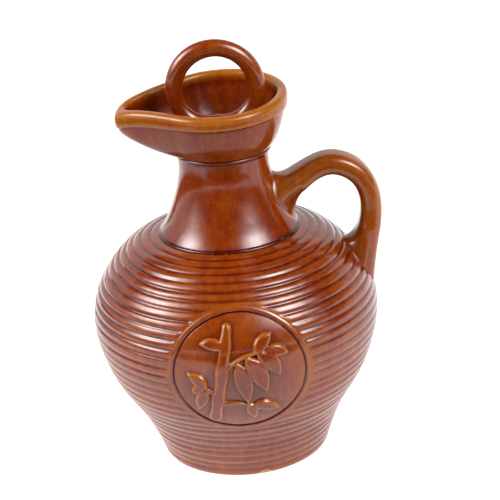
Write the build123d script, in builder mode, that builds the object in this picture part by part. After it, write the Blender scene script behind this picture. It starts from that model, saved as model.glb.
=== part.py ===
"""Ribbed sake bottle with a pouring cup, a strap handle and a ring stopper.

The bottle is made the way a potter makes it: belly, neck, pouring cup, handle, medallion and
relief are formed one by one and luted together, and the stopper is a loose plug with its own
ring and a soft seal.

Frame: millimetres, origin at the centre of the foot on the bottle's axis, +Z up, spout towards
-X, handle towards +X, medallion facing -Y.
"""

import math
import os

from build123d import *

os.makedirs("parts", exist_ok=True)

# ---- belly ------------------------------------------------------------------------------------
foot_radius = 38.4
belly_radius = 65.0
belly_height = 66.0
shoulder_height = 106.8  # where the neck is luted on
shoulder_radius = 32.4
foot_bevel = 0.8

# ---- throwing ribs ------------------------------------------------------------------------------
groove_count = 27
first_groove = 4.3  # distance along the wall from the foot
foot_rib_count = 4
foot_rib_pitch = 4.0
rib_pitch = 4.35
groove_depth = 0.9

# ---- neck ---------------------------------------------------------------------------------------
neck_foot_radius = 31.0
neck_mouth_radius = 25.0  # bore where the neck meets the belly
neck_waist_radius = 20.3
neck_top = 146.0
collar_radius = 21.7
collar_height = 2.6
bore_radius = 15.0
bore_start = 130.0

# ---- pouring cup --------------------------------------------------------------------------------
cup_foot_radius = 20.4
cup_lip_radius = 29.3
cup_floor = 151.5
cup_inner_radius = 25.6
floor_radius = 19.5
band_bottom = 163.2
band_radius = 30.3
rim_top = 170.2
spout_reach = 45.8
spout_inner_reach = 42.0
spout_tip_radius = 8.0
channel_tip_radius = 4.6
spout_dip = 165.0  # height of the lip at the spout's tip

# ---- handle -------------------------------------------------------------------------------------
strap_width = 15.0
strap_thickness = 10.0
strap_corner = 3.8
root_flare = 14.0  # extra size at the neck
tail_flare = 4.0  # extra size at the belly

# ---- medallion ----------------------------------------------------------------------------------
medallion_height = 62.8
pocket_radius = 29.0
plaque_radius = 28.2
pocket_depth = 2.6
plaque_recess = 0.8
relief_height = 1.9

# ---- stopper ------------------------------------------------------------------------------------
flange_radius = 18.5
flange_top = 156.5
collar_core_radius = 13.6
seal_core_radius = 12.0
running_clearance = 0.05
plug_bottom = 131.0
seal_bottom = 133.4
seal_top = 148.0
seal_lip_height = 1.2
ring_radius = 18.0
ring_tube_radius = 3.9
ring_height = 172.6
ring_offset = -1.0  # the ring stands a little towards the spout


def crest_line(inset=0.0):
    """Profile over the tops of the ribs, from the foot to the neck, moved towards the axis."""
    outline = [
        (foot_radius, 0),
        (42.1, 10.5),
        (48.6, 24.6),
        (57.5, 39.5),
        (63.0, 54.4),
        (belly_radius, belly_height),
        (61.6, 83.0),
        (54.5, 93.8),
        (42.0, 104.0),
        (shoulder_radius, shoulder_height),
    ]
    return Edge.make_spline([Vector(radius - inset, height) for radius, height in outline])


def along(line, distance):
    """Point and outward direction on a profile line at a distance from its start."""
    fraction = distance / line.length
    tangent = line.tangent_at(fraction)
    return line.position_at(fraction), Vector(tangent.Y, -tangent.X)


def groove_distance(index):
    """Distance of a groove from the foot; the ribs next to the foot are narrower."""
    narrow = min(index, foot_rib_count)
    return first_groove + foot_rib_pitch * narrow + rib_pitch * (index - narrow)


def belly_core(inset):
    """Smooth solid inside the rib tops, for the pieces that follow the belly's curve."""
    line = crest_line(inset)
    low, high = line.position_at(0), line.position_at(1)
    with BuildPart() as core:
        with BuildSketch(Plane.XZ):
            with BuildLine():
                add(line)
                Polyline(high, (0, high.Y), (0, low.Y), low)
            make_face()
        revolve(axis=Axis.Z)
    return core.part


# ---- outside of the belly, ribbed ---------------------------------------------------------------
crest = crest_line()
groove_places = [groove_distance(index) for index in range(groove_count)]
groove_bottoms = []
for place in groove_places:
    surface, outward = along(crest, place)
    groove_bottoms.append(surface - outward * groove_depth)
rib_tops = []
for lower, upper in zip(groove_places, groove_places[1:]):
    rib_tops.append(along(crest, (lower + upper) / 2)[0])
foot_rib_top = along(crest, first_groove * 0.6)[0]
shoulder_rib_top = along(crest, (groove_places[-1] + crest.length) / 2)[0]

with BuildPart() as belly_outside:
    with BuildSketch(Plane.XZ):
        with BuildLine():
            Polyline((0, 0), (foot_radius - foot_bevel, 0), (foot_radius, foot_bevel))
            ThreePointArc((foot_radius, foot_bevel), foot_rib_top, groove_bottoms[0])
            for start, top, end in zip(groove_bottoms, rib_tops, groove_bottoms[1:]):
                ThreePointArc(start, top, end)
            ThreePointArc(groove_bottoms[-1], shoulder_rib_top, (shoulder_radius, shoulder_height))
            Polyline((shoulder_radius, shoulder_height), (0, shoulder_height), (0, 0))
        make_face()
    revolve(axis=Axis.Z)

# ---- belly: hollow shell on a flat foot, with a pocket for the medallion --------------------------
with BuildPart() as medallion_pocket:
    with BuildSketch(Plane.XZ):
        with Locations((0, medallion_height)):
            Circle(pocket_radius)
    extrude(amount=belly_radius + 1)
    add(belly_core(pocket_depth), mode=Mode.SUBTRACT)

with BuildPart() as jar_body:
    add(belly_outside.part)
    with BuildSketch(Plane.XZ):
        with BuildLine():
            Polyline((0, shoulder_height), (0, 7.0), (30.0, 7.0))
            Spline(
                (30.0, 7.0),
                (36.0, 11.0),
                (42.3, 24.6),
                (51.3, 39.5),
                (57.0, 54.4),
                (58.9, belly_height),
                (55.8, 82.0),
                (48.0, 93.0),
                (36.0, 99.6),
                (neck_mouth_radius, shoulder_height),
                tangents=[(1, 0), (-0.5, 1)],
            )
            Line((neck_mouth_radius, shoulder_height), (0, shoulder_height))
        make_face()
    revolve(axis=Axis.Z, mode=Mode.SUBTRACT)
    add(medallion_pocket.part, mode=Mode.SUBTRACT)
jar_body.part.label = "jar_body"
export_step(jar_body.part, "parts/jar_body.step")

# ---- neck: hollow stem with a small foot step and a collar under the cup -------------------------
with BuildPart() as neck_outside:
    with BuildSketch(Plane.XZ):
        with BuildLine():
            Polyline((0, shoulder_height), (neck_foot_radius + 0.6, shoulder_height))
            ThreePointArc(
                (neck_foot_radius + 0.6, shoulder_height),
                (neck_foot_radius + 0.8, shoulder_height + 0.8),
                (neck_foot_radius, shoulder_height + 1.3),
            )
            Spline(
                (neck_foot_radius, shoulder_height + 1.3),
                (28.4, 112.0),
                (26.0, 117.0),
                (22.2, 127.3),
                (neck_waist_radius, 137.6),
                (neck_waist_radius, neck_top - collar_height),
            )
            ThreePointArc(
                (neck_waist_radius, neck_top - collar_height),
                (collar_radius, neck_top - collar_height / 2),
                (cup_foot_radius, neck_top),
            )
            Polyline((cup_foot_radius, neck_top), (0, neck_top), (0, shoulder_height))
        make_face()
    revolve(axis=Axis.Z)

with BuildPart() as neck:
    add(neck_outside.part)
    with BuildSketch(Plane.XZ):
        with BuildLine():
            Line((0, shoulder_height), (neck_mouth_radius, shoulder_height))
            Spline(
                (neck_mouth_radius, shoulder_height),
                (20.4, 117.0),
                (bore_radius, bore_start),
                tangents=[(-0.25, 1), (0, 1)],
            )
            Polyline((bore_radius, bore_start), (bore_radius, neck_top), (0, neck_top))
            Line((0, neck_top), (0, shoulder_height))
        make_face()
    revolve(axis=Axis.Z, mode=Mode.SUBTRACT)
neck.part.label = "neck"
export_step(neck.part, "parts/neck.step")

# ---- pouring cup: bowl drawn out into a spout, with a thick rim band ------------------------------


def beak(radius, reach, tip_radius):
    """Round outline drawn out to a rounded point towards -X, in the current sketch."""
    Circle(radius)
    with Locations((tip_radius - reach, 0)):
        Circle(tip_radius)
    make_hull()


def swell(start, end, share):
    """Radius of the bowl, opening fast at the foot and slowly at the lip."""
    return start + (end - start) * share**0.45


def draw_out(start, end, share):
    """Reach or tip radius of the spout, settling to its end value at the lip."""
    return start + (end - start) * math.sin(share * math.pi / 2) ** 0.65


outside_shares = (0.04, 0.1, 0.2, 0.35, 0.55, 0.78, 1.0)
inside_shares = (0.04, 0.12, 0.3, 0.55, 0.8, 1.0)
spout_floor_top = 163.0
cutter_reach = band_radius + 10

with BuildPart() as pouring_cup:
    for share in outside_shares:
        rise = (share - outside_shares[0]) / (1 - outside_shares[0])
        with BuildSketch(Plane.XY.offset(neck_top + (band_bottom - neck_top) * rise)):
            beak(
                swell(cup_foot_radius - 1.0, cup_lip_radius, share),
                draw_out(cup_foot_radius, spout_reach, share),
                draw_out(cup_foot_radius - 1.5, spout_tip_radius, share),
            )
    loft()
    with BuildSketch(Plane.XY.offset(band_bottom)):
        beak(band_radius, spout_reach + 0.8, spout_tip_radius + 0.8)
    extrude(amount=rim_top - band_bottom + 1.0)
    for share in inside_shares:
        rise = (share - inside_shares[0]) / (1 - inside_shares[0])
        with BuildSketch(Plane.XY.offset(cup_floor + (spout_floor_top - cup_floor) * rise)):
            beak(
                swell(floor_radius - 1.0, cup_inner_radius, share),
                draw_out(floor_radius, spout_inner_reach, share),
                draw_out(floor_radius - 1.5, channel_tip_radius, share),
            )
    loft(mode=Mode.SUBTRACT)
    with BuildSketch(Plane.XY.offset(spout_floor_top)):
        beak(cup_inner_radius, spout_inner_reach, channel_tip_radius)
    extrude(amount=rim_top, mode=Mode.SUBTRACT)
    with BuildSketch(Plane.XY.offset(neck_top)):
        Circle(bore_radius)
    extrude(amount=cup_floor - neck_top + 1.0, mode=Mode.SUBTRACT)
    with BuildSketch(Plane.XZ):
        with BuildLine():
            Spline(
                (-spout_reach - 4, spout_dip - 5.0),
                (-spout_reach, spout_dip),
                (-37.0, 168.2),
                (-22.0, rim_top - 0.6),
                (0, rim_top - 0.1),
                (cutter_reach, rim_top + 0.4),
            )
            Polyline(
                (cutter_reach, rim_top + 0.4),
                (cutter_reach, rim_top + 20),
                (-spout_reach - 4, rim_top + 20),
                (-spout_reach - 4, spout_dip - 5.0),
            )
        make_face()
    extrude(amount=belly_radius, both=True, mode=Mode.SUBTRACT)
pouring_cup.part.label = "pouring_cup"
export_step(pouring_cup.part, "parts/pouring_cup.step")

# ---- handle: pulled strap with flared roots ------------------------------------------------------
with BuildPart() as handle:
    with BuildLine(mode=Mode.PRIVATE) as strap_spine:
        Spline(
            (19.0, 0, 119.0),
            (31.5, 0, 127.0),
            (47.0, 0, 134.0),
            (59.6, 0, 127.6),
            (64.2, 0, 113.0),
            (62.2, 0, 99.5),
            (59.0, 0, 87.0),
            (58.2, 0, 76.0),
        )
    spine = strap_spine.line
    for station in range(13):
        share = station / 12
        flare = root_flare * max(0, 1 - share / 0.3) ** 2 + tail_flare * max(0, share / 0.25 - 3) ** 2
        section = Plane(origin=spine @ share, x_dir=(0, 1, 0), z_dir=spine % share)
        with BuildSketch(section):
            RectangleRounded(strap_width + flare, strap_thickness + flare, strap_corner)
    loft()
    add(neck_outside.part, mode=Mode.SUBTRACT)
    add(belly_outside.part, mode=Mode.SUBTRACT)
handle.part.label = "handle"
export_step(handle.part, "parts/handle.step")

# ---- medallion: pressed disc set in the belly's pocket -------------------------------------------
with BuildPart() as medallion_plaque:
    with BuildSketch(Plane.XZ):
        with Locations((0, medallion_height)):
            Circle(plaque_radius)
    extrude(amount=belly_radius + 1)
    add(belly_core(plaque_recess), mode=Mode.INTERSECT)
    add(belly_core(pocket_depth), mode=Mode.SUBTRACT)
medallion_plaque.part.label = "medallion_plaque"
export_step(medallion_plaque.part, "parts/medallion_plaque.step")

# ---- relief: a bamboo sprig on the medallion -----------------------------------------------------


def leaf(foot, angle, length, width):
    """Pointed leaf in the current sketch, from its foot, at an angle up from +X."""
    start = Vector(*foot)
    tip = start + Vector(length, 0).rotate(Axis.Z, angle)
    middle = start + Vector(length * 0.42, 0).rotate(Axis.Z, angle)
    side = Vector(0, width / 2).rotate(Axis.Z, angle)
    upper = Edge.make_three_point_arc(start, middle + side, tip)
    lower = Edge.make_three_point_arc(tip, middle - side, start)
    make_face([upper, lower])


with BuildPart() as medallion_motif:
    with BuildSketch(Plane(origin=(0, 0, medallion_height), x_dir=(1, 0, 0), z_dir=(0, -1, 0))):
        with BuildLine():
            Polyline((-12.5, -22.0), (-7.5, -22.0), (-3.0, 21.5), (-7.0, 22.0), (-12.5, -22.0))
        make_face()
        with BuildLine():
            Polyline((-8.0, -3.0), (6.0, 7.5), (17.5, 10.0), (6.0, 10.0), (-8.0, 1.0), (-8.0, -3.0))
        make_face()
        leaf((6.0, 8.5), 62, 14.0, 5.6)
        leaf((12.0, 9.5), 20, 10.5, 4.6)
        leaf((3.0, 6.0), -52, 21.0, 7.4)
        leaf((8.0, 9.0), -28, 17.5, 6.4)
        leaf((-1.0, 3.0), -78, 21.0, 7.0)
        leaf((-7.0, 0.0), -200, 13.0, 5.6)
        leaf((-7.5, -2.0), -142, 12.5, 5.2)
    extrude(amount=belly_radius + 2)
    add(belly_core(plaque_recess - relief_height), mode=Mode.INTERSECT)
    add(belly_core(plaque_recess), mode=Mode.SUBTRACT)
medallion_motif.part.label = "medallion_motif"
export_step(medallion_motif.part, "parts/medallion_motif.step")

# ---- stopper plug: flange that rests on the cup's floor, and a core for the seal -------------------
seal_inner_radius = seal_core_radius + running_clearance
with BuildPart() as stopper_plug:
    with BuildSketch(Plane.XZ):
        with BuildLine():
            Polyline(
                (0, plug_bottom),
                (collar_core_radius - 1.2, plug_bottom),
                (collar_core_radius, plug_bottom + 1.2),
                (collar_core_radius, seal_bottom - 0.1),
                (seal_core_radius, seal_bottom - 0.1),
                (seal_core_radius, seal_top + 0.1),
                (collar_core_radius, seal_top + 0.1),
                (collar_core_radius, cup_floor),
                (flange_radius - 0.8, cup_floor),
            )
            ThreePointArc(
                (flange_radius - 0.8, cup_floor),
                (flange_radius, cup_floor + 1.6),
                (flange_radius - 1.6, cup_floor + 3.6),
            )
            Spline(
                (flange_radius - 1.6, cup_floor + 3.6),
                (10.0, flange_top),
                (0, flange_top),
                tangents=[(-1, 0.35), (-1, 0)],
            )
            Line((0, flange_top), (0, plug_bottom))
        make_face()
    revolve(axis=Axis.Z)
stopper_plug.part.label = "stopper_plug"
export_step(stopper_plug.part, "parts/stopper_plug.step")

# ---- stopper ring: finger ring standing on the flange ----------------------------------------------
with BuildPart() as stopper_ring:
    with BuildSketch(Plane.XY.offset(ring_height)):
        with Locations((ring_offset + ring_radius, 0)):
            Circle(ring_tube_radius)
    revolve(axis=Axis((ring_offset, 0, ring_height), (0, 1, 0)))
    add(stopper_plug.part, mode=Mode.SUBTRACT)
    split(bisect_by=Plane.XY.offset(cup_floor + 2.0), keep=Keep.TOP)
stopper_ring.part.label = "stopper_ring"
export_step(stopper_ring.part, "parts/stopper_ring.step")

# ---- stopper seal: soft sleeve with three lips on the plug's core ----------------------------------
seal_outer_radius = bore_radius - running_clearance
seal_pitch = (seal_top - seal_bottom) / 3
with BuildPart() as stopper_seal:
    with BuildSketch(Plane.XZ):
        with BuildLine():
            Line((seal_inner_radius, seal_bottom), (seal_outer_radius - seal_lip_height, seal_bottom))
            for lip in range(3):
                foot = seal_bottom + lip * seal_pitch
                ThreePointArc(
                    (seal_outer_radius - seal_lip_height, foot),
                    (seal_outer_radius, foot + seal_pitch / 2),
                    (seal_outer_radius - seal_lip_height, foot + seal_pitch),
                )
            Polyline(
                (seal_outer_radius - seal_lip_height, seal_top),
                (seal_inner_radius, seal_top),
                (seal_inner_radius, seal_bottom),
            )
        make_face()
    revolve(axis=Axis.Z)
stopper_seal.part.label = "stopper_seal"
export_step(stopper_seal.part, "parts/stopper_seal.step")
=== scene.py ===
"""Looks of the sake bottle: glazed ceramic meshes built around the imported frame."""

import math

import bpy
import numpy as np
from mathutils import Matrix, Vector


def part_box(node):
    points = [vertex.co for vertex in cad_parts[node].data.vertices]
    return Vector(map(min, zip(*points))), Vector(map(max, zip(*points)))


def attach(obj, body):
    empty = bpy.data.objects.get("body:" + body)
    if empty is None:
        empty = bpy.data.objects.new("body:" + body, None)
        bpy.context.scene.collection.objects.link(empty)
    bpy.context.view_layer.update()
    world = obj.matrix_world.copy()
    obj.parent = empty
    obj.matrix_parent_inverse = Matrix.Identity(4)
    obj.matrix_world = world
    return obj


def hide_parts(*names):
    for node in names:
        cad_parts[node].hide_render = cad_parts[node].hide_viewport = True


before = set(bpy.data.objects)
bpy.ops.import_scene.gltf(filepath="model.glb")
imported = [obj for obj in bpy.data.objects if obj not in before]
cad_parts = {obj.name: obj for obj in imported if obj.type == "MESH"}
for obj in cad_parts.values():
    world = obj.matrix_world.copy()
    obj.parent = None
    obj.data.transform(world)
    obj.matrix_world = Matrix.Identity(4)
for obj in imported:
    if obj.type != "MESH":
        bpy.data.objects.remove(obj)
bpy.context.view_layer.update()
MM = 0.001
rng = np.random.default_rng(7)

# ---- sizes, from the frame where it holds them (metres) ------------------------------------------
belly_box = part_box("jar_body")
neck_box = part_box("neck")
plaque_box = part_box("medallion_plaque")
ring_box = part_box("stopper_ring")

shoulder_height = belly_box[1].z
neck_top = neck_box[1].z
cup_floor = 151.5 * MM
medallion_height = (plaque_box[0].z + plaque_box[1].z) / 2
plaque_radius = (plaque_box[1].x - plaque_box[0].x) / 2
plaque_stretch = 1.025  # the hand-cut disc is a little wider than high
ring_centre_height = 172.6 * MM
ring_centre = Vector(((ring_box[0].x + ring_box[1].x) / 2, 0, ring_centre_height))
ring_tube = (ring_box[1].y - ring_box[0].y) / 2
ring_outer = ring_box[1].z - ring_centre.z


# ---- curves -----------------------------------------------------------------------------------
def natural_spline(knots, values, at):
    """Values of a natural cubic spline at the given places."""
    knots, values = np.asarray(knots, float), np.asarray(values, float)
    count = len(knots)
    gap = np.diff(knots)
    rows = np.eye(count)
    right = np.zeros(count)
    for i in range(1, count - 1):
        rows[i, i - 1 : i + 2] = gap[i - 1], 2 * (gap[i - 1] + gap[i]), gap[i]
        slopes = (values[i + 1] - values[i]) / gap[i], (values[i] - values[i - 1]) / gap[i - 1]
        right[i] = 6 * (slopes[0] - slopes[1])
    bend = np.linalg.solve(rows, right)
    at = np.asarray(at, float)
    i = np.clip(np.searchsorted(knots, at) - 1, 0, count - 2)
    h, a, b = gap[i], (knots[i + 1] - at), (at - knots[i])
    cubic = (bend[i] * a**3 + bend[i + 1] * b**3) / (6 * h)
    return cubic + (values[i] / h - bend[i] * h / 6) * a + (values[i + 1] / h - bend[i + 1] * h / 6) * b


def curve_through(points, count):
    """Evenly spaced points on a smooth curve through the given points."""
    points = np.asarray(points, float)
    knots = np.concatenate([[0], np.cumsum(np.linalg.norm(np.diff(points, axis=0), axis=1))])
    fine = np.linspace(0, knots[-1], 40 * len(points))
    dense = np.stack([natural_spline(knots, column, fine) for column in points.T], -1)
    length = np.concatenate([[0], np.cumsum(np.linalg.norm(np.diff(dense, axis=0), axis=1))])
    even = np.linspace(0, length[-1], count)
    return np.stack([np.interp(even, length, column) for column in dense.T], -1)


def smoothstep(low, high, value):
    """Smooth rise from 0 at low to 1 at high."""
    share = np.clip((value - low) / (high - low), 0, 1)
    return share * share * (3 - 2 * share)


def between(low, high, share):
    """Value a share of the way from low to high."""
    return low + (high - low) * share


def ripple(angle, height, seed, waves=4):
    """Slow unevenness of a hand-thrown wall, between about -1 and 1, at angles and heights."""
    draw = np.random.default_rng(seed)
    total = 0
    for wave in range(1, waves + 1):
        phase, climb = draw.uniform(0, 2 * math.pi), draw.uniform(-60, 60)
        total = total + np.sin(wave * angle + climb * height + phase) / wave
    return total / 1.8


# ---- meshes -------------------------------------------------------------------------------------
def face_outward(mesh):
    """Turns the faces outward if a closed mesh is inside out."""
    mesh.calc_loop_triangles()
    places = np.array([v.co for v in mesh.vertices])
    corners = places[np.array([t.vertices for t in mesh.loop_triangles])]
    if np.einsum("ij,ij->i", corners[:, 0], np.cross(corners[:, 1], corners[:, 2])).sum() < 0:
        mesh.flip_normals()


def make_object(name, vertices, faces):
    """New closed object from arrays, with smooth shading."""
    mesh = bpy.data.meshes.new(name)
    mesh.from_pydata(np.asarray(vertices, float).tolist(), [], [list(map(int, f)) for f in faces])
    mesh.validate()
    mesh.update()
    face_outward(mesh)
    mesh.shade_smooth()
    thing = bpy.data.objects.new(name, mesh)
    bpy.context.scene.collection.objects.link(thing)
    return thing


def grid_faces(rows, columns, closed_rows=False):
    """Quads of a grid that closes round its columns, and round its rows too if asked."""
    row = np.arange(rows if closed_rows else rows - 1)
    column = np.arange(columns)
    low = (row[:, None] * columns + column[None]).ravel()
    low_next = (row[:, None] * columns + (column[None] + 1) % columns).ravel()
    up = (((row + 1) % rows)[:, None] * columns + column[None]).ravel()
    up_next = (((row + 1) % rows)[:, None] * columns + (column[None] + 1) % columns).ravel()
    return np.stack([low, low_next, up_next, up], -1).tolist()


def capped_tube(rings):
    """Vertices and faces of a closed tube through rings, with a point at each end."""
    rings = np.asarray(rings)
    rows, columns = rings.shape[:2]
    vertices = np.concatenate([rings.reshape(-1, 3), rings[0].mean(0)[None], rings[-1].mean(0)[None]])
    faces = grid_faces(rows, columns)
    first, last = rows * columns, rows * columns + 1
    for column in range(columns):
        after = (column + 1) % columns
        faces.append([first, after, column])
        faces.append([last, (rows - 1) * columns + column, (rows - 1) * columns + after])
    return vertices, faces


def turned(profile, angles):
    """Rings of a turned wall: one for each profile point (radius, height)."""
    profile = np.asarray(profile)
    radius, height = profile[:, 0][:, None], profile[:, 1][:, None]
    return np.stack([radius * np.cos(angles), radius * np.sin(angles), height + 0 * angles], -1)


def pool_glaze(thing, reach, strength):
    """Stores how thick the glaze lies: 0 on sharp crests, 0.5 on plain walls, 1 in hollows."""
    mesh = thing.data
    count = len(mesh.vertices)
    places = np.zeros(count * 3)
    mesh.vertices.foreach_get("co", places)
    places = places.reshape(-1, 3)
    ends = np.zeros(len(mesh.edges) * 2, np.int64)
    mesh.edges.foreach_get("vertices", ends)
    start, end = ends.reshape(-1, 2).T
    length = np.linalg.norm(places[start] - places[end], axis=1) + 1e-7
    weight = 1 / length
    total = np.bincount(start, weight, count) + np.bincount(end, weight, count) + 1e-12
    blurred = places.copy()
    for _ in range(reach):
        pulled = np.zeros_like(blurred)
        for axis in range(3):
            pulled[:, axis] = np.bincount(start, weight * blurred[end, axis], count)
            pulled[:, axis] += np.bincount(end, weight * blurred[start, axis], count)
        blurred = 0.5 * blurred + 0.5 * pulled / total[:, None]
    normals = np.zeros(count * 3)
    mesh.vertices.foreach_get("normal", normals)
    hollow = ((blurred - places) * normals.reshape(-1, 3)).sum(1)
    thickness = np.clip(0.5 + hollow / MM * strength, 0, 1)
    attribute = mesh.attributes.new("glaze", "FLOAT", "POINT")
    attribute.data.foreach_set("value", thickness.astype(np.float32))
    return thickness


def set_glaze(thing, thickness):
    """Writes the glaze attribute again after it was changed: the glaze's thickness, with painted shade on the
    neck and a painted highlight on the sprig.
    """
    values = np.clip(thickness, 0, 1).astype(np.float32)
    thing.data.attributes["glaze"].data.foreach_set("value", values)


# ---- belly --------------------------------------------------------------------------------------
crest_outline = [
    (38.4, 0.0), (42.1, 10.5), (48.6, 24.6), (57.5, 39.5), (63.0, 54.4),
    (65.0, 66.0), (61.6, 83.0), (54.5, 93.8), (42.0, 104.0), (32.4, 106.8),
]
crest = curve_through(np.array(crest_outline) * MM, 2000)
crest_run = np.concatenate([[0], np.cumsum(np.linalg.norm(np.diff(crest, axis=0), axis=1))])
groove_count = 29
first_groove = 4.3 * MM  # along the wall from the foot, as are the pitches
foot_rib_count = 4
foot_rib_pitch = 4.0 * MM
rib_pitch = 4.35 * MM
groove_depth = 0.5 * MM
first_shallow_groove = 26
wall_rings = 325
wall_start = 0.9 * MM  # the foot's rounded edge lies below it
pocket_depth = 2.0 * MM
foot_radius = 38.4 * MM
chip_angle = math.radians(-79)
chip_radius = 2.3 * MM
chip_stretch = 1.5  # the chip is wider than high


def crest_radius(height):
    """Radius over the rib tops at a height."""
    return np.interp(height, crest[:, 1], crest[:, 0])


def groove_run(index):
    """Distance of a groove from the foot along the wall."""
    narrow = min(index, foot_rib_count)
    return first_groove + foot_rib_pitch * narrow + rib_pitch * (index - narrow)


def belly_angles():
    """Angles round the belly, closer together behind the medallion at the front."""
    front = np.linspace(-32, 32, 100) - 90
    rest = np.linspace(-58, 238, 172)[1:-1]
    return np.radians(np.concatenate([front, rest]))


def from_chip(angle, height):
    """Distance from the chip at the foot, in front and a little to the right."""
    return np.hypot((angle - chip_angle) * foot_radius / chip_stretch, height)


def rib_valleys(runs, angles):
    """How deep the grooves cut the wall, and how near each place is to a groove's middle line."""
    depth = np.zeros((len(runs), len(angles)))
    line = np.zeros_like(depth)
    for index in range(groove_count):
        middle = groove_run(index) + rng.normal(0, 0.2) * MM
        wander = 0.3 * MM * ripple(angles, 0, 100 + index)
        own_depth = groove_depth * (1 + rng.normal(0, 0.14)) * (1 + 0.25 * ripple(angles, 0, 200 + index))
        away = (runs[:, None] - middle - wander[None]) / rib_pitch
        if index >= first_shallow_groove:
            own_depth *= 0.55
        valley = 0.5 + 0.5 * np.cos(2 * math.pi * np.clip(away, -0.5, 0.5))
        depth += own_depth * valley**2.3
        line += valley**5
    return depth, line


def build_belly():
    """Hollow belly with throwing ribs, a pocket under the medallion and a flat bare foot."""
    angles = belly_angles()
    runs = np.linspace(wall_start, crest_run[-1], wall_rings)
    radius = np.interp(runs, crest_run, crest[:, 0])
    height = np.interp(runs, crest_run, crest[:, 1])
    slope = np.stack([np.gradient(radius), np.gradient(height)], -1)
    slope /= np.linalg.norm(slope, axis=1)[:, None]
    radius, height = radius[:, None], height[:, None]
    outward_radius, outward_height = slope[:, 1:], -slope[:, :1]

    # the medallion's surroundings: the ribs fade at its border, and its pocket is cut in
    depth, line = rib_valleys(runs, angles)
    from_medallion = np.hypot(radius * np.cos(angles) / plaque_stretch, height - medallion_height)
    front = np.sin(angles) < 0
    border = smoothstep(plaque_radius + 3.6 * MM, plaque_radius + 2.0 * MM, from_medallion) * front
    pocket = smoothstep(plaque_radius + 2.1 * MM, plaque_radius + 0.9 * MM, from_medallion) * front
    depth = depth * (1 - border) + border * 0.22 * MM + pocket * pocket_depth
    depth += 0.45 * MM * smoothstep(2.9 * MM, 1.2 * MM, from_chip(angles[None], height))
    shift = 0.06 * MM * ripple(angles[None], height, 5) - depth
    wall_radius = radius + outward_radius * shift
    wall_height = height + outward_height * shift
    wall = np.stack([wall_radius * np.cos(angles), wall_radius * np.sin(angles), wall_height], -1)

    foot = turned(np.array([
        (0.5, 0.0), (14.0, 0.0), (28.0, 0.0), (36.9, 0.0), (37.7, 0.2), (38.25, 0.75),
    ]) * MM, angles)
    top = turned(np.array([(29.0, 106.8), (25.0, 106.8)]) * MM, angles)
    inside = curve_through(np.array([
        (25.0, 106.8), (36.0, 99.6), (48.0, 93.0), (55.8, 82.0), (58.9, 66.0),
        (57.0, 54.4), (51.3, 39.5), (42.3, 24.6), (36.0, 11.0), (28.0, 7.2), (14.0, 7.0), (0.5, 7.0),
    ]) * MM, 32)[1:]
    belly = make_object("belly", *capped_tube(np.concatenate([foot, wall, top, turned(inside, angles)])))

    # the glaze pools in the grooves, more so towards the shoulder, and runs thin at the foot
    thickness = pool_glaze(belly, 14, 0.8)
    bead = np.exp(-(((from_medallion - plaque_radius) / MM - 1.9) / 1.0) ** 2) * front
    pooling = 0.06 + 0.28 * smoothstep(30 * MM, 72 * MM, height)
    painted = 0.42 + pooling * line * (1 - border) - 0.16 * bead + 0.5 * pocket
    painted -= 0.3 * smoothstep(2.8 * MM, 0.8 * MM, wall_height)
    start = len(foot) * len(angles)
    thickness[start : start + painted.size] = painted.ravel()
    set_glaze(belly, thickness)
    return belly


def bare_foot(belly):
    """Gives the flat foot and its chip a second material, because no glaze covers them."""
    belly.data.materials.append(clay_material())
    for face in belly.data.polygons:
        distance = math.hypot(face.center.x, face.center.y)
        angle = math.atan2(face.center.y, face.center.x)
        chipped = distance > 36.5 * MM and from_chip(angle, face.center.z) < chip_radius
        if chipped or face.center.z < 0.15 * MM:
            face.material_index = 1


# ---- neck ---------------------------------------------------------------------------------------
neck_outline = np.array([
    (31.0, 108.1), (28.4, 112.0), (26.0, 117.0), (22.2, 127.3), (20.3, 137.6), (20.3, 143.2),
]) * MM
neck_wall = curve_through(neck_outline, 90)


def neck_radius(height):
    """Outside radius of the neck at a height."""
    return np.interp(height, neck_wall[:, 1], neck_wall[:, 0])


def build_neck():
    """Hollow waisted neck with a small step at its foot and a collar under the cup."""
    angles = np.radians(np.arange(0, 360, 1.5))
    foot = np.array([(31.6, 106.75), (32.0, 107.1), (31.9, 107.6), (31.5, 107.9)]) * MM
    collar = np.array([
        (20.5, 143.6), (21.1, 143.9), (21.6, 144.4), (21.7, 144.9), (21.3, 145.4),
        (20.6, 145.7), (20.2, 146.0), (17.5, 146.0),
    ]) * MM
    inside = np.array([
        (15.0, 146.0), (15.0, 140.0), (15.0, 131.0), (15.6, 127.5), (17.5, 123.0),
        (20.4, 117.0), (23.6, 110.5), (25.0, 106.8), (28.5, 106.75),
    ]) * MM
    profile = np.concatenate([foot, neck_wall, collar, inside])
    rings = turned(profile, angles)
    wide = profile[:, 0] > 20 * MM
    grow = 1 + 0.004 * ripple(angles[None], rings[..., 2], 11) * wide[:, None]
    rings[..., :2] *= grow[..., None]
    vertices = rings.reshape(-1, 3)
    neck = make_object("neck_stem", vertices, grid_faces(len(rings), len(angles), closed_rows=True))
    thickness = pool_glaze(neck, 10, 2.0)
    heights = vertices[:, 2]
    # painted shadow: a dark band where the neck's foot steps down onto the shoulder
    thickness = np.where(heights < shoulder_height + 1.6 * MM, 0.86, thickness)
    # painted shade: the collar under the cup's overhang is kept at least dark brown
    set_glaze(neck, np.where(heights > 143.4 * MM, np.maximum(thickness, 0.62), thickness))
    return neck


# ---- pouring cup --------------------------------------------------------------------------------
band_drop = 6.9 * MM
band_foot_tilt = 0.43  # the band's foot tilts by this share of the rim's tilt
rim_tilt = 0.07
spout_reach = 46.5 * MM
lip_heights = np.array([
    (-49.0, 163.0), (-46.0, 165.0), (-42.0, 167.0), (-37.0, 168.3), (-30.0, 169.2), (-22.0, 169.6),
    (0, 170.0), (32.0, 170.6),
]) * MM


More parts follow.
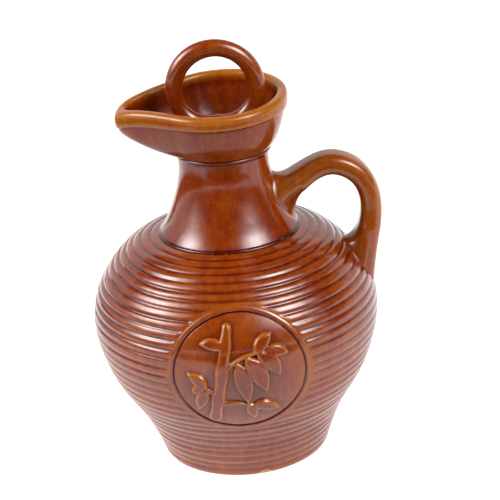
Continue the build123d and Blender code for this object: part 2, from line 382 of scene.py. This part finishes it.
def lip_height(x):
    """Height of the rim along the cup. It dips towards the spout's tip."""
    return natural_spline(lip_heights[:, 0], lip_heights[:, 1], np.clip(x, -0.0485, 0.032))


def sag(y, share):
    """The hand-made rim isn't quite level: it lies lower in front than at the back."""
    return rim_tilt * y * share


def beak(radius, reach, tip, angles, soften=5.0):
    """Polar radius of a round outline drawn out to a rounded tip towards -X."""
    fine = np.radians(np.arange(0, 360, 0.5))
    off = np.abs(fine - math.pi)
    centre = reach - tip
    line = np.full_like(fine, radius)
    if centre > radius - tip:
        turn = math.acos(np.clip((radius - tip) / centre, -1, 1))
        tip_end = math.atan2(tip * math.sin(turn), centre + tip * math.cos(turn))
        straight = (off < turn) & (off >= tip_end)
        line[straight] = radius / np.cos(off[straight] - turn)
        nose = off < tip_end
        aside = centre * np.sin(off[nose])
        line[nose] = centre * np.cos(off[nose]) + np.sqrt(np.maximum(tip**2 - aside**2, 0))
    kernel = np.exp(-0.5 * (np.arange(-40, 41) * 0.5 / soften) ** 2)
    wrapped = np.concatenate([line[-40:], line, line[:40]])
    line = np.convolve(wrapped, kernel / kernel.sum(), "valid")
    return np.interp(angles % (2 * math.pi), np.append(fine, 2 * math.pi), np.append(line, line[0]))


def rim_angles(count):
    """Angles that divide the rim's outline evenly, so that the spout's tip is finely divided."""
    fine = np.linspace(0, 2 * math.pi, 2881)
    radius = beak(30.3 * MM, spout_reach, 8.5 * MM, fine, 3.0)
    x, y = radius * np.cos(fine), radius * np.sin(fine)
    run = np.concatenate([[0], np.cumsum(np.hypot(np.diff(x), np.diff(y)))])
    return np.interp(np.linspace(0, run[-1], count, endpoint=False), run, fine)


def build_cup():
    """Bowl with a thick rim band, drawn out into a spout, on the neck's collar."""
    angles = rim_angles(260)
    rings = []

    def add_ring(radius, reach, tip, level, base, top_share):
        """One ring. Its height runs from base at share 0 to the lip plus level at share 1."""
        line = beak(radius, reach, tip, angles, 4.0)
        x, y = line * np.cos(angles), line * np.sin(angles)
        lip = lip_height(x)
        up_band = (level + band_drop) / band_drop
        tilt = sag(y, top_share * np.clip(band_foot_tilt + (1 - band_foot_tilt) * up_band, 0, 1))
        rings.append(np.stack([x, y, base + (lip + level - base) * top_share + tilt], -1))

    # outside of the bowl, from its foot on the collar up to the band
    for share in np.linspace(0.0, 1.0, 34) ** 1.25:
        drawn = math.sin((0.04 + 0.96 * share) * math.pi / 2) ** 0.65
        swell = (0.03 + 0.97 * share) ** 0.45
        radius, reach, tip = between(19.9, 29.3, swell), between(20.4, 45.6, drawn), between(18.9, 8.0, drawn)
        add_ring(radius * MM, reach * MM, tip * MM, -band_drop, neck_top, share)
    # rim band, as (outward, level) from the bowl's outside top and the lip
    band = [
        (0.05, -6.95), (0.45, -6.85), (0.85, -6.5), (1.0, -5.9), (1.08, -4.8), (1.12, -3.6), (1.05, -2.4),
        (0.85, -1.4), (0.5, -0.7), (0.0, -0.22), (-0.7, 0.0), (-1.6, 0.05), (-2.5, -0.05), (-3.1, -0.35),
        (-3.5, -0.85), (-3.75, -1.6), (-3.9, -2.6), (-4.0, -3.8),
    ]
    for out, level in band:
        tip = 8.0 + out * (0.9 if out > 0 else 0.85)
        add_ring((29.3 + out) * MM, (45.6 + out) * MM, tip * MM, level * MM, neck_top, 1.0)
    # inside of the bowl, down to its floor and the bore
    for share in np.linspace(1.0, 0.0, 30)[1:] ** 1.15:
        drawn = math.sin((0.02 + 0.98 * share) * math.pi / 2) ** 0.7
        swell = (0.02 + 0.98 * share) ** 0.5
        radius, reach, tip = between(18.2, 25.2, swell), between(18.6, 41.5, drawn), between(17.2, 4.6, drawn)
        add_ring(radius * MM, reach * MM, tip * MM, -4.4 * MM, cup_floor, share)
    bore = [(17.0, 151.5), (15.4, 151.4), (15.0, 151.0), (15.0, 148.5), (15.0, 146.0), (17.6, 146.0)]
    rings = np.array(rings + list(turned(np.array(bore) * MM, angles)))
    wobble = ripple(np.arctan2(rings[..., 1], rings[..., 0]), rings[..., 2], 21)
    outer = np.hypot(rings[..., 0], rings[..., 1]) > 18 * MM
    rings[..., :2] *= 1 + 0.004 * (wobble * outer)[..., None]
    cup = make_object("cup", rings.reshape(-1, 3), grid_faces(len(rings), len(angles), closed_rows=True))
    pool_glaze(cup, 12, 1.8)
    return cup


# ---- handle -------------------------------------------------------------------------------------
strap_half_width = 7.5 * MM
strap_half_depth = 4.9 * MM
upper_root = 121.5 * MM  # heights of the roots' middles
lower_root = 84.5 * MM
lower_root_half_width = 11.0 * MM
swell_rings = 18


def strap_section(count, sharpness=3.0):
    """Unit outline of the strap: a rounded rectangle as (across, outward) pairs."""
    turn = np.linspace(0, 2 * math.pi, count, endpoint=False)
    power = 2 / sharpness
    across = np.sign(np.sin(turn)) * np.abs(np.sin(turn)) ** power
    outward = np.sign(np.cos(turn)) * np.abs(np.cos(turn)) ** power
    return turn, across, outward


def root_ring(turn, centre, half_height, half_width, wall):
    """Ring on a turned wall where the handle grows out of it, its top at turn 0."""
    height = centre + half_height * np.cos(turn)
    radius = wall(height)
    angle = half_width * np.sin(turn) / wall(centre)
    return np.stack([radius * np.cos(angle), radius * np.sin(angle), height], -1)


def bezier(a, b, c, d, share):
    """Point on a cubic curve, for arrays of control points."""
    rest = 1 - share
    return rest**3 * a + 3 * rest**2 * share * b + 3 * rest * share**2 * c + share**3 * d


def build_handle():
    """Pulled strap that swells into the neck and into the belly."""
    columns = 56
    turn, across, outward = strap_section(columns)
    whole = curve_through(np.array([
        (19.0, 119.0), (31.5, 127.0), (47.0, 134.0), (59.6, 127.6), (64.2, 113.0), (62.2, 99.5), (59.0, 87.0),
        (58.2, 76.0),
    ]) * MM, 400)
    past_neck = whole[:, 0] > 32.5 * MM
    above_belly = (whole[:, 1] > 102.5 * MM) | (whole[:, 0] < 50 * MM)
    spine = whole[past_neck & above_belly][::4]
    along = np.gradient(spine, axis=0)
    along /= np.linalg.norm(along, axis=1)[:, None]
    out = np.stack([-along[:, 1], along[:, 0]], -1)
    rings = []
    for place, way in zip(spine, out):
        share = len(rings) / (len(spine) - 1)
        at_start, at_end = max(0, 1 - share / 0.2) ** 2, max(0, share / 0.2 - 4) ** 2
        width = strap_half_width * (1 + 0.12 * at_start + 0.08 * at_end)
        depth = strap_half_depth * (1 + 0.12 * at_start + 0.05 * at_end)
        ring = np.stack([
            place[0] + way[0] * outward * depth, across * width, place[1] + way[1] * outward * depth,
        ], -1)
        rings.append(ring)
    upper = root_ring(turn, upper_root, 13.2 * MM, 11.5 * MM, lambda z: neck_radius(z) - 0.25 * MM)
    lower = root_ring(
        math.pi - turn, lower_root, 15.5 * MM, lower_root_half_width, lambda z: crest_radius(z) - 1.0 * MM
    )
    lower[:, 1] = lower_root_half_width * np.sin(turn) * np.where(np.cos(turn) > 0, 0.92, 1.0)
    under = np.maximum(-np.cos(turn), 0)
    upper[:, 1] *= 1 - 0.35 * under  # the root narrows to a keel under the strap
    start_way = np.array([along[0, 0], 0, along[0, 1]])
    end_way = np.array([along[-1, 0], 0, along[-1, 1]])
    upper_centre = np.array([neck_radius(upper_root), 0, upper_root])
    lower_centre = np.array([crest_radius(lower_root), 0, lower_root])
    swell_in, swell_out = [], []
    for share in np.linspace(0, 1, swell_rings)[:-1]:
        inner = upper + (upper_centre - upper) * np.array([0.3, 0.2, 0.42])
        near = rings[0] - start_way * 3.5 * MM
        near[:, 1] *= 1 - 0.3 * under
        swell_in.append(bezier(upper, inner, near, rings[0], share))
    for share in np.linspace(1, 0, swell_rings)[1:]:
        inner = lower + (lower_centre - lower) * np.array([0.2, 0.22, 0.4])
        near = rings[-1] + end_way * np.where(np.cos(turn) < 0, 4.0, 11.0)[:, None] * MM
        swell_out.append(bezier(lower, inner, near, rings[-1], share))
    rings = np.array(swell_in + rings + swell_out)
    bumps = ripple(rings[..., 2] * 40, rings[..., 0], 31)
    rings[..., 1] *= 1 + 0.015 * bumps
    handle = make_object("strap_handle", *capped_tube(rings[::-1]))
    pool_glaze(handle, 16, 0.6)
    return handle


# ---- medallion ----------------------------------------------------------------------------------
def on_belly(x, z, lift):
    """Points on the front of the belly over (x, z), lifted off the rib tops."""
    radius = crest_radius(z)
    y = -np.sqrt(np.maximum(radius**2 - x**2, 0))
    tilt = np.gradient(crest[:, 0], crest[:, 1] + 1e-12 * np.arange(len(crest)))
    rise = -np.interp(z, crest[:, 1], np.clip(tilt, -1.2, 1.2))
    normal = np.stack([x / radius, y / radius, rise], -1)
    normal /= np.linalg.norm(normal, axis=-1)[..., None]
    return np.stack([x, y, z], -1) + normal * np.asarray(lift)[..., None]


fullness = 1.13  # of every stroke


def stroke(points, widths, count=60):
    """Brush-like stroke: centreline samples with half-widths, around the medallion's centre."""
    line = curve_through(np.array(points, float), count)
    half = natural_spline(np.linspace(0, 1, len(widths)), widths, np.linspace(0, 1, count))
    return line * MM, np.maximum(half * fullness, 0.05) * MM


def leaf_stroke(foot, angle, length, width, droop):
    """Leaf that leaves its foot at an angle, droops, swells early and ends in a point."""
    turn = math.radians(angle)
    bend = turn + np.radians(droop) * np.linspace(0, 1, 5)
    step = length / 4
    points = [np.array(foot, float)]
    for way in bend[1:]:
        points.append(points[-1] + step * np.array([math.cos(way), math.sin(way)]))
    return stroke(points, [0.5, width * 0.44, width * 0.5, width * 0.3, 0.12])


sprig = [
    # stem in four joints, and two twigs
    stroke([(-12.0, -20.2), (-11.2, -15.5), (-10.4, -11.2)], [2.8, 2.4, 2.8]),
    stroke([(-10.2, -9.8), (-8.7, -2.5), (-7.8, 2.6)], [2.9, 2.4, 2.8]),
    stroke([(-7.6, 4.0), (-6.2, 11.0), (-5.5, 15.2)], [2.7, 2.2, 2.5]),
    stroke([(-5.3, 16.5), (-4.6, 20.0), (-4.2, 22.5)], [2.4, 2.0, 1.8]),
    stroke([(-7.6, 3.4), (-1.0, 8.5), (7.0, 11.2), (12.0, 11.5)], [1.3, 1.0, 0.9, 0.6]),
    stroke([(-9.9, -10.6), (-13.5, -6.0), (-16.0, -3.5)], [1.2, 0.9, 0.7]),
    # leaves of the right-hand twig
    leaf_stroke((7.5, 11.2), 66, 11.0, 5.4, -30),
    leaf_stroke((11.5, 11.5), 8, 10.5, 5.2, -34),
    leaf_stroke((8.0, 11.0), -22, 15.5, 6.4, -48),
    leaf_stroke((3.0, 9.9), -48, 20.5, 7.4, -30),
    leaf_stroke((-1.0, 8.2), -72, 23.0, 7.0, -14),
    # leaves of the left-hand twig, and one at the top joint
    leaf_stroke((-15.0, -4.4), 118, 11.0, 5.0, 30),
    leaf_stroke((-15.8, -3.8), 188, 6.5, 4.2, 40),
    leaf_stroke((-14.6, -5.2), 236, 12.5, 5.2, 22),
    leaf_stroke((-6.0, 14.6), 150, 11.0, 4.8, 36),
    # low twig and its leaves
    stroke([(-10.8, -13.4), (-5.0, -13.0), (0.0, -13.6), (5.4, -15.2)], [1.2, 1.0, 0.8, 0.6]),
    leaf_stroke((4.8, -15.0), 4, 12.0, 5.0, -34),
    leaf_stroke((2.6, -14.4), -58, 8.5, 4.6, -24),
]


def relief(x, z, height=2.1 * MM):
    """Height of the sprig over the plaque, and the distance from its outline, negative inside."""
    lift = np.full(x.shape, -1.0)
    outside = np.full(x.shape, 1.0)
    for line, half in sprig:
        gap = np.hypot(x[..., None] - line[:, 0], z[..., None] - medallion_height - line[:, 1])
        inside = (half - gap).max(-1)
        widest = half.max()
        dome = height * np.sqrt(np.clip(1 - (1 - np.clip(inside / min(widest, 1.5 * MM), 0, 1)) ** 2, 0, 1))
        lift = np.maximum(lift, np.where(inside > 0, dome * (0.72 + 0.28 * widest / (3.7 * MM)), -1))
        outside = np.minimum(outside, -inside)
    return lift, outside


def build_plaque():
    """Smooth disc with a groove round it and a soft border where the ribs end."""
    groove_radius = 28.2
    angles = np.radians(np.arange(0, 360, 1.0))
    disc, groove, border = np.linspace(0.4, 27.2, 64), np.linspace(27.4, 29.2, 19), np.linspace(29.4, 31.0, 9)
    radii = np.concatenate([disc, groove, border])
    section = np.array([
        (0.0, -0.62), (27.6, -0.66), (27.9, -0.9), (groove_radius, -1.35), (28.5, -0.8),
        (28.8, -0.4), (29.4, -0.22), (30.2, -0.3), (31.0, -1.0),
    ])
    level = np.interp(radii, section[:, 0], section[:, 1])
    wander = 1 + 0.005 * ripple(angles, 0, 41) + 0.004 * ripple(angles * 7, 0, 43)
    x = radii[:, None] * MM * np.cos(angles) * wander * plaque_stretch
    z = medallion_height + radii[:, None] * MM * np.sin(angles) * wander
    uneven = 0.05 * MM * ripple(angles[None] * 2, radii[:, None] * MM * 5, 42)
    top = on_belly(x, z, level[:, None] * MM + uneven)
    under = on_belly(x[::-1], z[::-1], np.full(x.shape, -2.3 * MM))
    plaque = make_object("medallion", *capped_tube(np.concatenate([top, under])))
    thickness = pool_glaze(plaque, 10, 1.0)
    near = np.exp(-np.maximum(relief(x, z)[1], 0) / (1.0 * MM))
    ring_groove = np.exp(-(((radii - groove_radius) / 0.4) ** 2))[:, None]
    bead = np.exp(-(((radii - 29.8) / 0.8) ** 2))[:, None]
    painted = 0.42 + 0.28 * near + 0.46 * ring_groove - 0.1 * bead
    thickness[: painted.size] = painted.ravel()
    set_glaze(plaque, thickness)
    return plaque


def build_motif():
    """Bamboo sprig in low relief: closed skins over the places that its strokes cover."""
    step = 0.3 * MM
    span = 25.5 * MM
    side = np.arange(-span, span, step)
    x, z = np.meshgrid(side, medallion_height + side)
    lift, outside = relief(x, z)
    edge = np.maximum(outside, 0)
    keep = edge < 0.45 * MM
    lift = np.where(lift >= 0, lift, -edge * 1.2)
    soft = lift.copy()
    for _ in range(2):
        padded = np.pad(soft, 1, mode="edge")
        beside = padded[:-2, 1:-1] + padded[2:, 1:-1] + padded[1:-1, :-2] + padded[1:-1, 2:]
        soft = (padded[1:-1, 1:-1] * 4 + beside) / 8
    top = on_belly(x, z, soft - 0.75 * MM)
    under = on_belly(x, z, np.full(x.shape, -1.5 * MM))
    quads = keep[:-1, :-1] & keep[1:, :-1] & keep[:-1, 1:] & keep[1:, 1:]
    number = np.arange(x.size).reshape(x.shape)
    corner = [number[:-1, :-1], number[:-1, 1:], number[1:, 1:], number[1:, :-1]]
    upper = np.stack([c[quads] for c in corner], -1)
    lower = upper[:, ::-1] + x.size
    edges = dict.fromkeys((a, b) for quad in upper.tolist() for a, b in zip(quad, quad[1:] + quad[:1]))
    sides = [[b, a, a + x.size, b + x.size] for a, b in edges if (b, a) not in edges]
    vertices = np.concatenate([top.reshape(-1, 3), under.reshape(-1, 3)])
    faces = np.concatenate([upper, lower, np.array(sides)])
    used, faces = np.unique(faces, return_inverse=True)
    motif = make_object("sprig_relief", vertices[used], faces.reshape(-1, 4))
    # a lighter band just inside the sprig's outline: partly the glaze breaking thin on its edges, partly a
    # painted highlight along them
    thin_edge_and_highlight = np.exp(-(((outside.ravel() / MM + 0.5) / 0.3) ** 2))
    thickness = pool_glaze(motif, 6, 3.0) - 0.3 * np.concatenate([thin_edge_and_highlight, thin_edge_and_highlight])[used]
    set_glaze(motif, thickness)
    return motif


# ---- stopper ------------------------------------------------------------------------------------
def build_flange():
    """Turned plug: a domed flange with a rounded edge, and the core that carries the seal."""
    angles = np.radians(np.arange(0, 360, 2.0))
    profile = np.array([
        (0.4, 131.0), (12.2, 131.0), (13.2, 131.5), (13.6, 132.3), (13.6, 133.3), (12.0, 133.3),
        (12.0, 140.7), (12.0, 148.1), (13.6, 148.1), (13.6, 151.45), (17.2, 151.5), (18.0, 151.9),
        (18.45, 152.8), (18.4, 153.9), (17.9, 154.7), (16.9, 155.2), (15.0, 155.6), (12.5, 156.0),
        (9.0, 156.35), (5.0, 156.5), (0.4, 156.5),
    ]) * MM
    flange = make_object("stopper_flange", *capped_tube(turned(profile, angles)))
    pool_glaze(flange, 4, 2.0)
    return flange


def build_ring():
    """Finger ring that swells where it grows out of the flange."""
    around, across = 160, 40
    major = ring_outer - ring_tube
    turn = np.linspace(0, 2 * math.pi, around, endpoint=False)
    cross = np.linspace(0, 2 * math.pi, across, endpoint=False)
    rings = []
    for angle in turn:
        from_foot = abs(math.degrees(angle) - 270)
        from_foot = min(from_foot, 360 - from_foot)
        swell = max(0.0, 1 - from_foot / 68) ** 2
        tube = ring_tube * (1 + 0.02 * math.sin(3 * angle + 1) + 0.55 * swell)
        deep = ring_tube * (1 + 0.75 * swell)
        way = np.array([math.cos(angle), 0, math.sin(angle)])
        centre = np.array(ring_centre) + way * major
        sideways = np.array([0, deep, 0])
        rings.append(centre + np.cos(cross)[:, None] * way * tube + np.sin(cross)[:, None] * sideways)
    rings = np.array(rings)
    lowest = 152.4 * MM  # inside the flange, where the ring's foot is cut flat
    height = rings[..., 2]
    rings[..., 2] = np.where(height < lowest, lowest + (height - lowest) * 0.05, height)
    ring = make_object("finger_ring", rings.reshape(-1, 3), grid_faces(around, across, closed_rows=True))
    pool_glaze(ring, 12, 0.4)
    return ring


# ---- finishes -----------------------------------------------------------------------------------
def linear(red, green, blue):
    """Scene colour of an 8-bit display colour."""
    return tuple((c / 255) ** 2.2 for c in (red, green, blue)) + (1.0,)


class Nodes:
    """Small helper for wiring a material."""

    def __init__(self, name):
        self.material = bpy.data.materials.new(name)
        self.material.use_nodes = True
        self.tree = self.material.node_tree
        self.tree.nodes.clear()

    def add(self, kind, **values):
        """Adds a node. The values set its properties, or its inputs by name."""
        node = self.tree.nodes.new("ShaderNode" + kind)
        for key, value in values.items():
            if hasattr(node, key):
                setattr(node, key, value)
            else:
                node.inputs[key.replace("_", " ")].default_value = value
        return node

    def link(self, output, target):
        """Links an output to an input."""
        self.tree.links.new(output, target)

    def noise(self, scale, detail=3.0, roughness=0.5, drawn_out=1.0):
        """Noise over the object's own space. The scale is waves in a metre, fewer along Z."""
        place = self.add("Mapping")
        place.inputs["Scale"].default_value = (1, 1, 1 / drawn_out)
        noise = self.add("TexNoise", Scale=scale, Detail=detail, Roughness=roughness)
        self.link(self.add("TexCoord").outputs["Object"], place.inputs["Vector"])
        self.link(place.outputs[0], noise.inputs["Vector"])
        return noise.outputs["Fac"]

    def math(self, operation, first, second, third=None):
        """Math node on sockets or numbers."""
        node = self.add("Math", operation=operation)
        for socket, value in zip(node.inputs, (first, second, third)):
            if isinstance(value, bpy.types.NodeSocket):
                self.link(value, socket)
            elif value is not None:
                socket.default_value = value
        return node.outputs[0]

    def ramp(self, factor, stops):
        """Colour ramp over (place, colour) stops."""
        node = self.add("ValToRGB")
        band = node.color_ramp
        band.elements[0].position, band.elements[0].color = stops[0]
        band.elements[1].position, band.elements[1].color = stops[-1]
        for place, colour in stops[1:-1]:
            band.elements.new(place).color = colour
        self.link(factor, node.inputs["Fac"])
        return node.outputs["Color"]

    def mix(self, factor, first, second):
        """Colour mix of sockets or colours."""
        node = self.add("Mix", data_type="RGBA")
        for socket, value in ((node.inputs[0], factor), (node.inputs[6], first), (node.inputs[7], second)):
            if isinstance(value, bpy.types.NodeSocket):
                self.link(value, socket)
            else:
                socket.default_value = value
        return node.outputs[2]


honey = linear(136, 78, 22)
amber = linear(122, 58, 14)
brown = linear(103, 39, 9)
russet = linear(74, 19, 5)
dark = linear(38, 9, 3)


def glaze_material(name, shine=0.5, shift=0.0, mottle=0.62):
    """Glossy iron glaze that breaks to honey on edges and pools dark red-brown in hollows."""
    n = Nodes(name)
    # the glaze attribute: the glaze's thickness, and on the neck and the sprig also painted shade and a
    # painted highlight
    pooled = n.add("Attribute", attribute_name="glaze").outputs["Fac"]
    pooled = n.math("ADD", pooled, shift)
    cloud = n.math("SUBTRACT", n.noise(28.0, 3.0), 0.5)
    drip = n.math("SUBTRACT", n.noise(260.0, 3.0, 0.6, 6.0), 0.5)
    spot = n.math("SUBTRACT", n.noise(420.0, 4.0, 0.7), 0.5)
    pooled = n.math("MULTIPLY_ADD", cloud, mottle, pooled)
    pooled = n.math("MULTIPLY_ADD", drip, mottle * 0.7, pooled)
    pooled = n.math("MULTIPLY_ADD", spot, mottle * 0.6, pooled)
    colour = n.ramp(pooled, [(0.0, honey), (0.28, amber), (0.5, brown), (0.74, russet), (1.0, dark)])
    grain = n.noise(1500.0, 2.0, 0.7)
    colour = n.mix(n.ramp(grain, [(0.30, (0.35, 0.35, 0.35, 1)), (0.42, (0, 0, 0, 1))]), colour, russet)
    speck = n.noise(700.0, 1.0)
    colour = n.mix(n.ramp(speck, [(0.74, (0, 0, 0, 1)), (0.78, (0.7, 0.7, 0.7, 1))]), colour, honey)
    swell = n.add("Bump", Strength=0.16, Distance=0.0012)
    n.link(n.noise(95.0, 2.0), swell.inputs["Height"])
    peel = n.add("Bump", Strength=0.05, Distance=0.0003)
    n.link(n.noise(900.0, 2.0), peel.inputs["Height"])
    n.link(swell.outputs["Normal"], peel.inputs["Normal"])
    surface = n.add("BsdfPrincipled", IOR=1.52)
    surface.inputs["Specular IOR Level"].default_value = shine
    surface.inputs["Coat Weight"].default_value = 0.08
    surface.inputs["Coat Roughness"].default_value = 0.06
    surface.inputs["Coat IOR"].default_value = 1.5
    n.link(colour, surface.inputs["Base Color"])
    rough = n.ramp(n.noise(60.0, 3.0), [(0.3, (0.10, 0.10, 0.10, 1)), (0.7, (0.17, 0.17, 0.17, 1))])
    n.link(rough, surface.inputs["Roughness"])
    n.link(peel.outputs["Normal"], surface.inputs["Normal"])
    n.link(surface.outputs[0], n.add("OutputMaterial").inputs["Surface"])
    return n.material


def clay_material():
    """Bare fired clay of the unglazed foot."""
    n = Nodes("bare_clay")
    colour = n.ramp(n.noise(400.0, 5.0, 0.7), [
        (0.3, linear(128, 92, 66)), (0.55, linear(170, 130, 98)), (0.75, linear(196, 162, 128)),
    ])
    bump = n.add("Bump", Strength=0.5, Distance=0.0004)
    n.link(n.noise(1300.0, 4.0, 0.7), bump.inputs["Height"])
    surface = n.add("BsdfPrincipled", Roughness=0.85)
    n.link(colour, surface.inputs["Base Color"])
    n.link(bump.outputs["Normal"], surface.inputs["Normal"])
    n.link(surface.outputs[0], n.add("OutputMaterial").inputs["Surface"])
    return n.material


def silicone_material():
    """Milky seal rubber."""
    n = Nodes("seal_silicone")
    colour = n.ramp(n.noise(120.0, 3.0), [(0.3, linear(196, 190, 178)), (0.7, linear(214, 208, 196))])
    bump = n.add("Bump", Strength=0.1, Distance=0.0002)
    n.link(n.noise(1200.0, 2.0), bump.inputs["Height"])
    surface = n.add("BsdfPrincipled", Roughness=0.45)
    surface.inputs["Subsurface Weight"].default_value = 0.15
    surface.inputs["Subsurface Scale"].default_value = 0.002
    n.link(colour, surface.inputs["Base Color"])
    n.link(bump.outputs["Normal"], surface.inputs["Normal"])
    n.link(surface.outputs[0], n.add("OutputMaterial").inputs["Surface"])
    return n.material


def plain_material(name, colour, roughness, glow):
    """Even matt stage surface with a glow of its own."""
    n = Nodes(name)
    surface = n.add("BsdfPrincipled", Roughness=roughness)
    surface.inputs["Emission Color"].default_value = (1, 1, 1, 1)
    surface.inputs["Emission Strength"].default_value = glow
    surface.inputs["Specular IOR Level"].default_value = 0.0
    surface.inputs["Base Color"].default_value = colour
    n.link(surface.outputs[0], n.add("OutputMaterial").inputs["Surface"])
    return n.material


def flag_material():
    """Black cloth with one soft edge, which keeps the pale floor's reflection short."""
    n = Nodes("flag_cloth")
    place = n.add("SeparateXYZ")
    n.link(n.add("TexCoord").outputs["Object"], place.inputs[0])
    edge = n.add("MapRange", interpolation_type="SMOOTHSTEP")
    edge.inputs["From Min"].default_value, edge.inputs["From Max"].default_value = 1.0, 0.88
    n.link(place.outputs["Y"], edge.inputs["Value"])
    cloth = n.add("BsdfDiffuse")
    cloth.inputs["Color"].default_value = (0.02, 0.02, 0.02, 1)
    blend = n.add("MixShader")
    n.link(edge.outputs[0], blend.inputs["Fac"])
    n.link(n.add("BsdfTransparent").outputs[0], blend.inputs[1])
    n.link(cloth.outputs[0], blend.inputs[2])
    n.link(blend.outputs[0], n.add("OutputMaterial").inputs["Surface"])
    return n.material


# ---- the bottle ---------------------------------------------------------------------------------
stopper_glaze = glaze_material("stopper_glaze")
pieces = [
    (build_belly(), "jar_body", "bottle", "belly_glaze", glaze_material("belly_glaze")),
    (build_neck(), "neck", "bottle", "neck_glaze", glaze_material("neck_glaze", 0.42)),
    (build_cup(), "pouring_cup", "bottle", "cup_glaze", glaze_material("cup_glaze", 0.25)),
    (build_handle(), "handle", "bottle", "handle_glaze", glaze_material("handle_glaze", 0.4, -0.1)),
    (build_plaque(), "medallion_plaque", "bottle", "medallion_glaze", glaze_material("medallion_glaze")),
    (build_motif(), "medallion_motif", "bottle", "relief_glaze", glaze_material("relief_glaze")),
    (build_flange(), "stopper_plug", "stopper", "stopper_glaze", stopper_glaze),
    (build_ring(), "stopper_ring", "stopper", "stopper_glaze", stopper_glaze),
]
for thing, node, body, slot, material in pieces:
    thing.data.materials.append(material)
    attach(thing, body)
    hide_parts(node)

bare_foot(pieces[0][0])

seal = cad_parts["stopper_seal"]
seal.data.materials.clear()
seal.data.materials.append(silicone_material())

# ---- stage, light and camera --------------------------------------------------------------------
bpy.ops.mesh.primitive_plane_add(size=12.0, location=(0, 0, -0.0002))
floor = bpy.context.object
floor.name = "floor"
floor.data.materials.append(plain_material("floor_white", (0.36, 0.36, 0.36, 1), 0.8, 0.98))

cloth = flag_material()
for name, place, half_size, heading in (
    ("flag_front", (0, -1.0), (0.6, 0.76), 0),
    ("flag_left", (-1.15, 0.1), (0.9, 0.8), -math.pi / 2),
):
    bpy.ops.mesh.primitive_plane_add(size=2.0, location=(*place, 0.0006), rotation=(0, 0, heading))
    flag = bpy.context.object
    flag.name = name
    flag.scale = (*half_size, 1)
    flag.data.materials.append(cloth)
    flag.visible_camera = flag.visible_shadow = False

scene = bpy.context.scene
world = bpy.data.worlds.new("studio")
world.use_nodes = True
tree = world.node_tree
ray = tree.nodes.new("ShaderNodeTexCoord").outputs["Generated"]


def world_math(operation, first, second, third=0.0):
    """Math on the world's light, from sockets or numbers."""
    node = tree.nodes.new("ShaderNodeMath")
    node.operation = operation
    for socket, value in zip(node.inputs, (first, second, third)):
        if isinstance(value, bpy.types.NodeSocket):
            tree.links.new(value, socket)
        else:
            socket.default_value = value
    return node.outputs[0]


def towards(direction):
    """Cosine between the ray and a direction."""
    node = tree.nodes.new("ShaderNodeVectorMath")
    node.operation = "DOT_PRODUCT"
    tree.links.new(ray, node.inputs[0])
    node.inputs[1].default_value = direction
    return node.outputs["Value"]


def soft_lamp(azimuth, elevation, spread, strength):
    """Lamp with a soft edge. Azimuth 0 is at the camera's side, and grows to the right."""
    turn, lift = math.radians(azimuth), math.radians(elevation)
    aim = (math.sin(turn) * math.cos(lift), -math.cos(turn) * math.cos(lift), math.sin(lift))
    falloff = 2 / math.radians(spread) ** 2
    glow = world_math("EXPONENT", world_math("MULTIPLY_ADD", towards(aim), falloff, -falloff), 0.0)
    return world_math("MULTIPLY", glow, strength)


backdrop = tree.nodes.new("ShaderNodeMapRange")
backdrop.interpolation_type = "SMOOTHSTEP"
backdrop.inputs["From Min"].default_value, backdrop.inputs["From Max"].default_value = -0.02, 0.12
backdrop.inputs["To Min"].default_value, backdrop.inputs["To Max"].default_value = 1.0, 0.06
tree.links.new(towards((0, -0.8, 1.0)), backdrop.inputs["Value"])
light = backdrop.outputs[0]
left_lamp = soft_lamp(-80, 34, 16, 19.5)
right_lamp = soft_lamp(50, 39, 15, 21.0)
light = world_math("ADD", world_math("ADD", light, left_lamp), right_lamp)
tree.links.new(light, tree.nodes["Background"].inputs["Strength"])
tree.nodes["Background"].inputs["Color"].default_value = (1, 1, 1, 1)
scene.world = world
scene.view_settings.view_transform = "Standard"

lens = bpy.data.cameras.new("camera")
lens.lens, lens.sensor_width, lens.clip_start = 127.13, 36.0, 0.01
camera = bpy.data.objects.new("camera", lens)
scene.collection.objects.link(camera)
camera_place = (0.0085, -0.7365, 0.4069)
tilt, roll = 0.401, -0.081
forward = Vector((0, math.cos(tilt), -math.sin(tilt)))
right = Vector((math.cos(roll), math.sin(roll) * math.sin(tilt), math.sin(roll) * math.cos(tilt)))
up = right.cross(forward)
turned_to = Matrix((right, up, -forward)).transposed().to_4x4()
camera.matrix_world = Matrix.Translation(camera_place) @ turned_to
scene.camera = camera
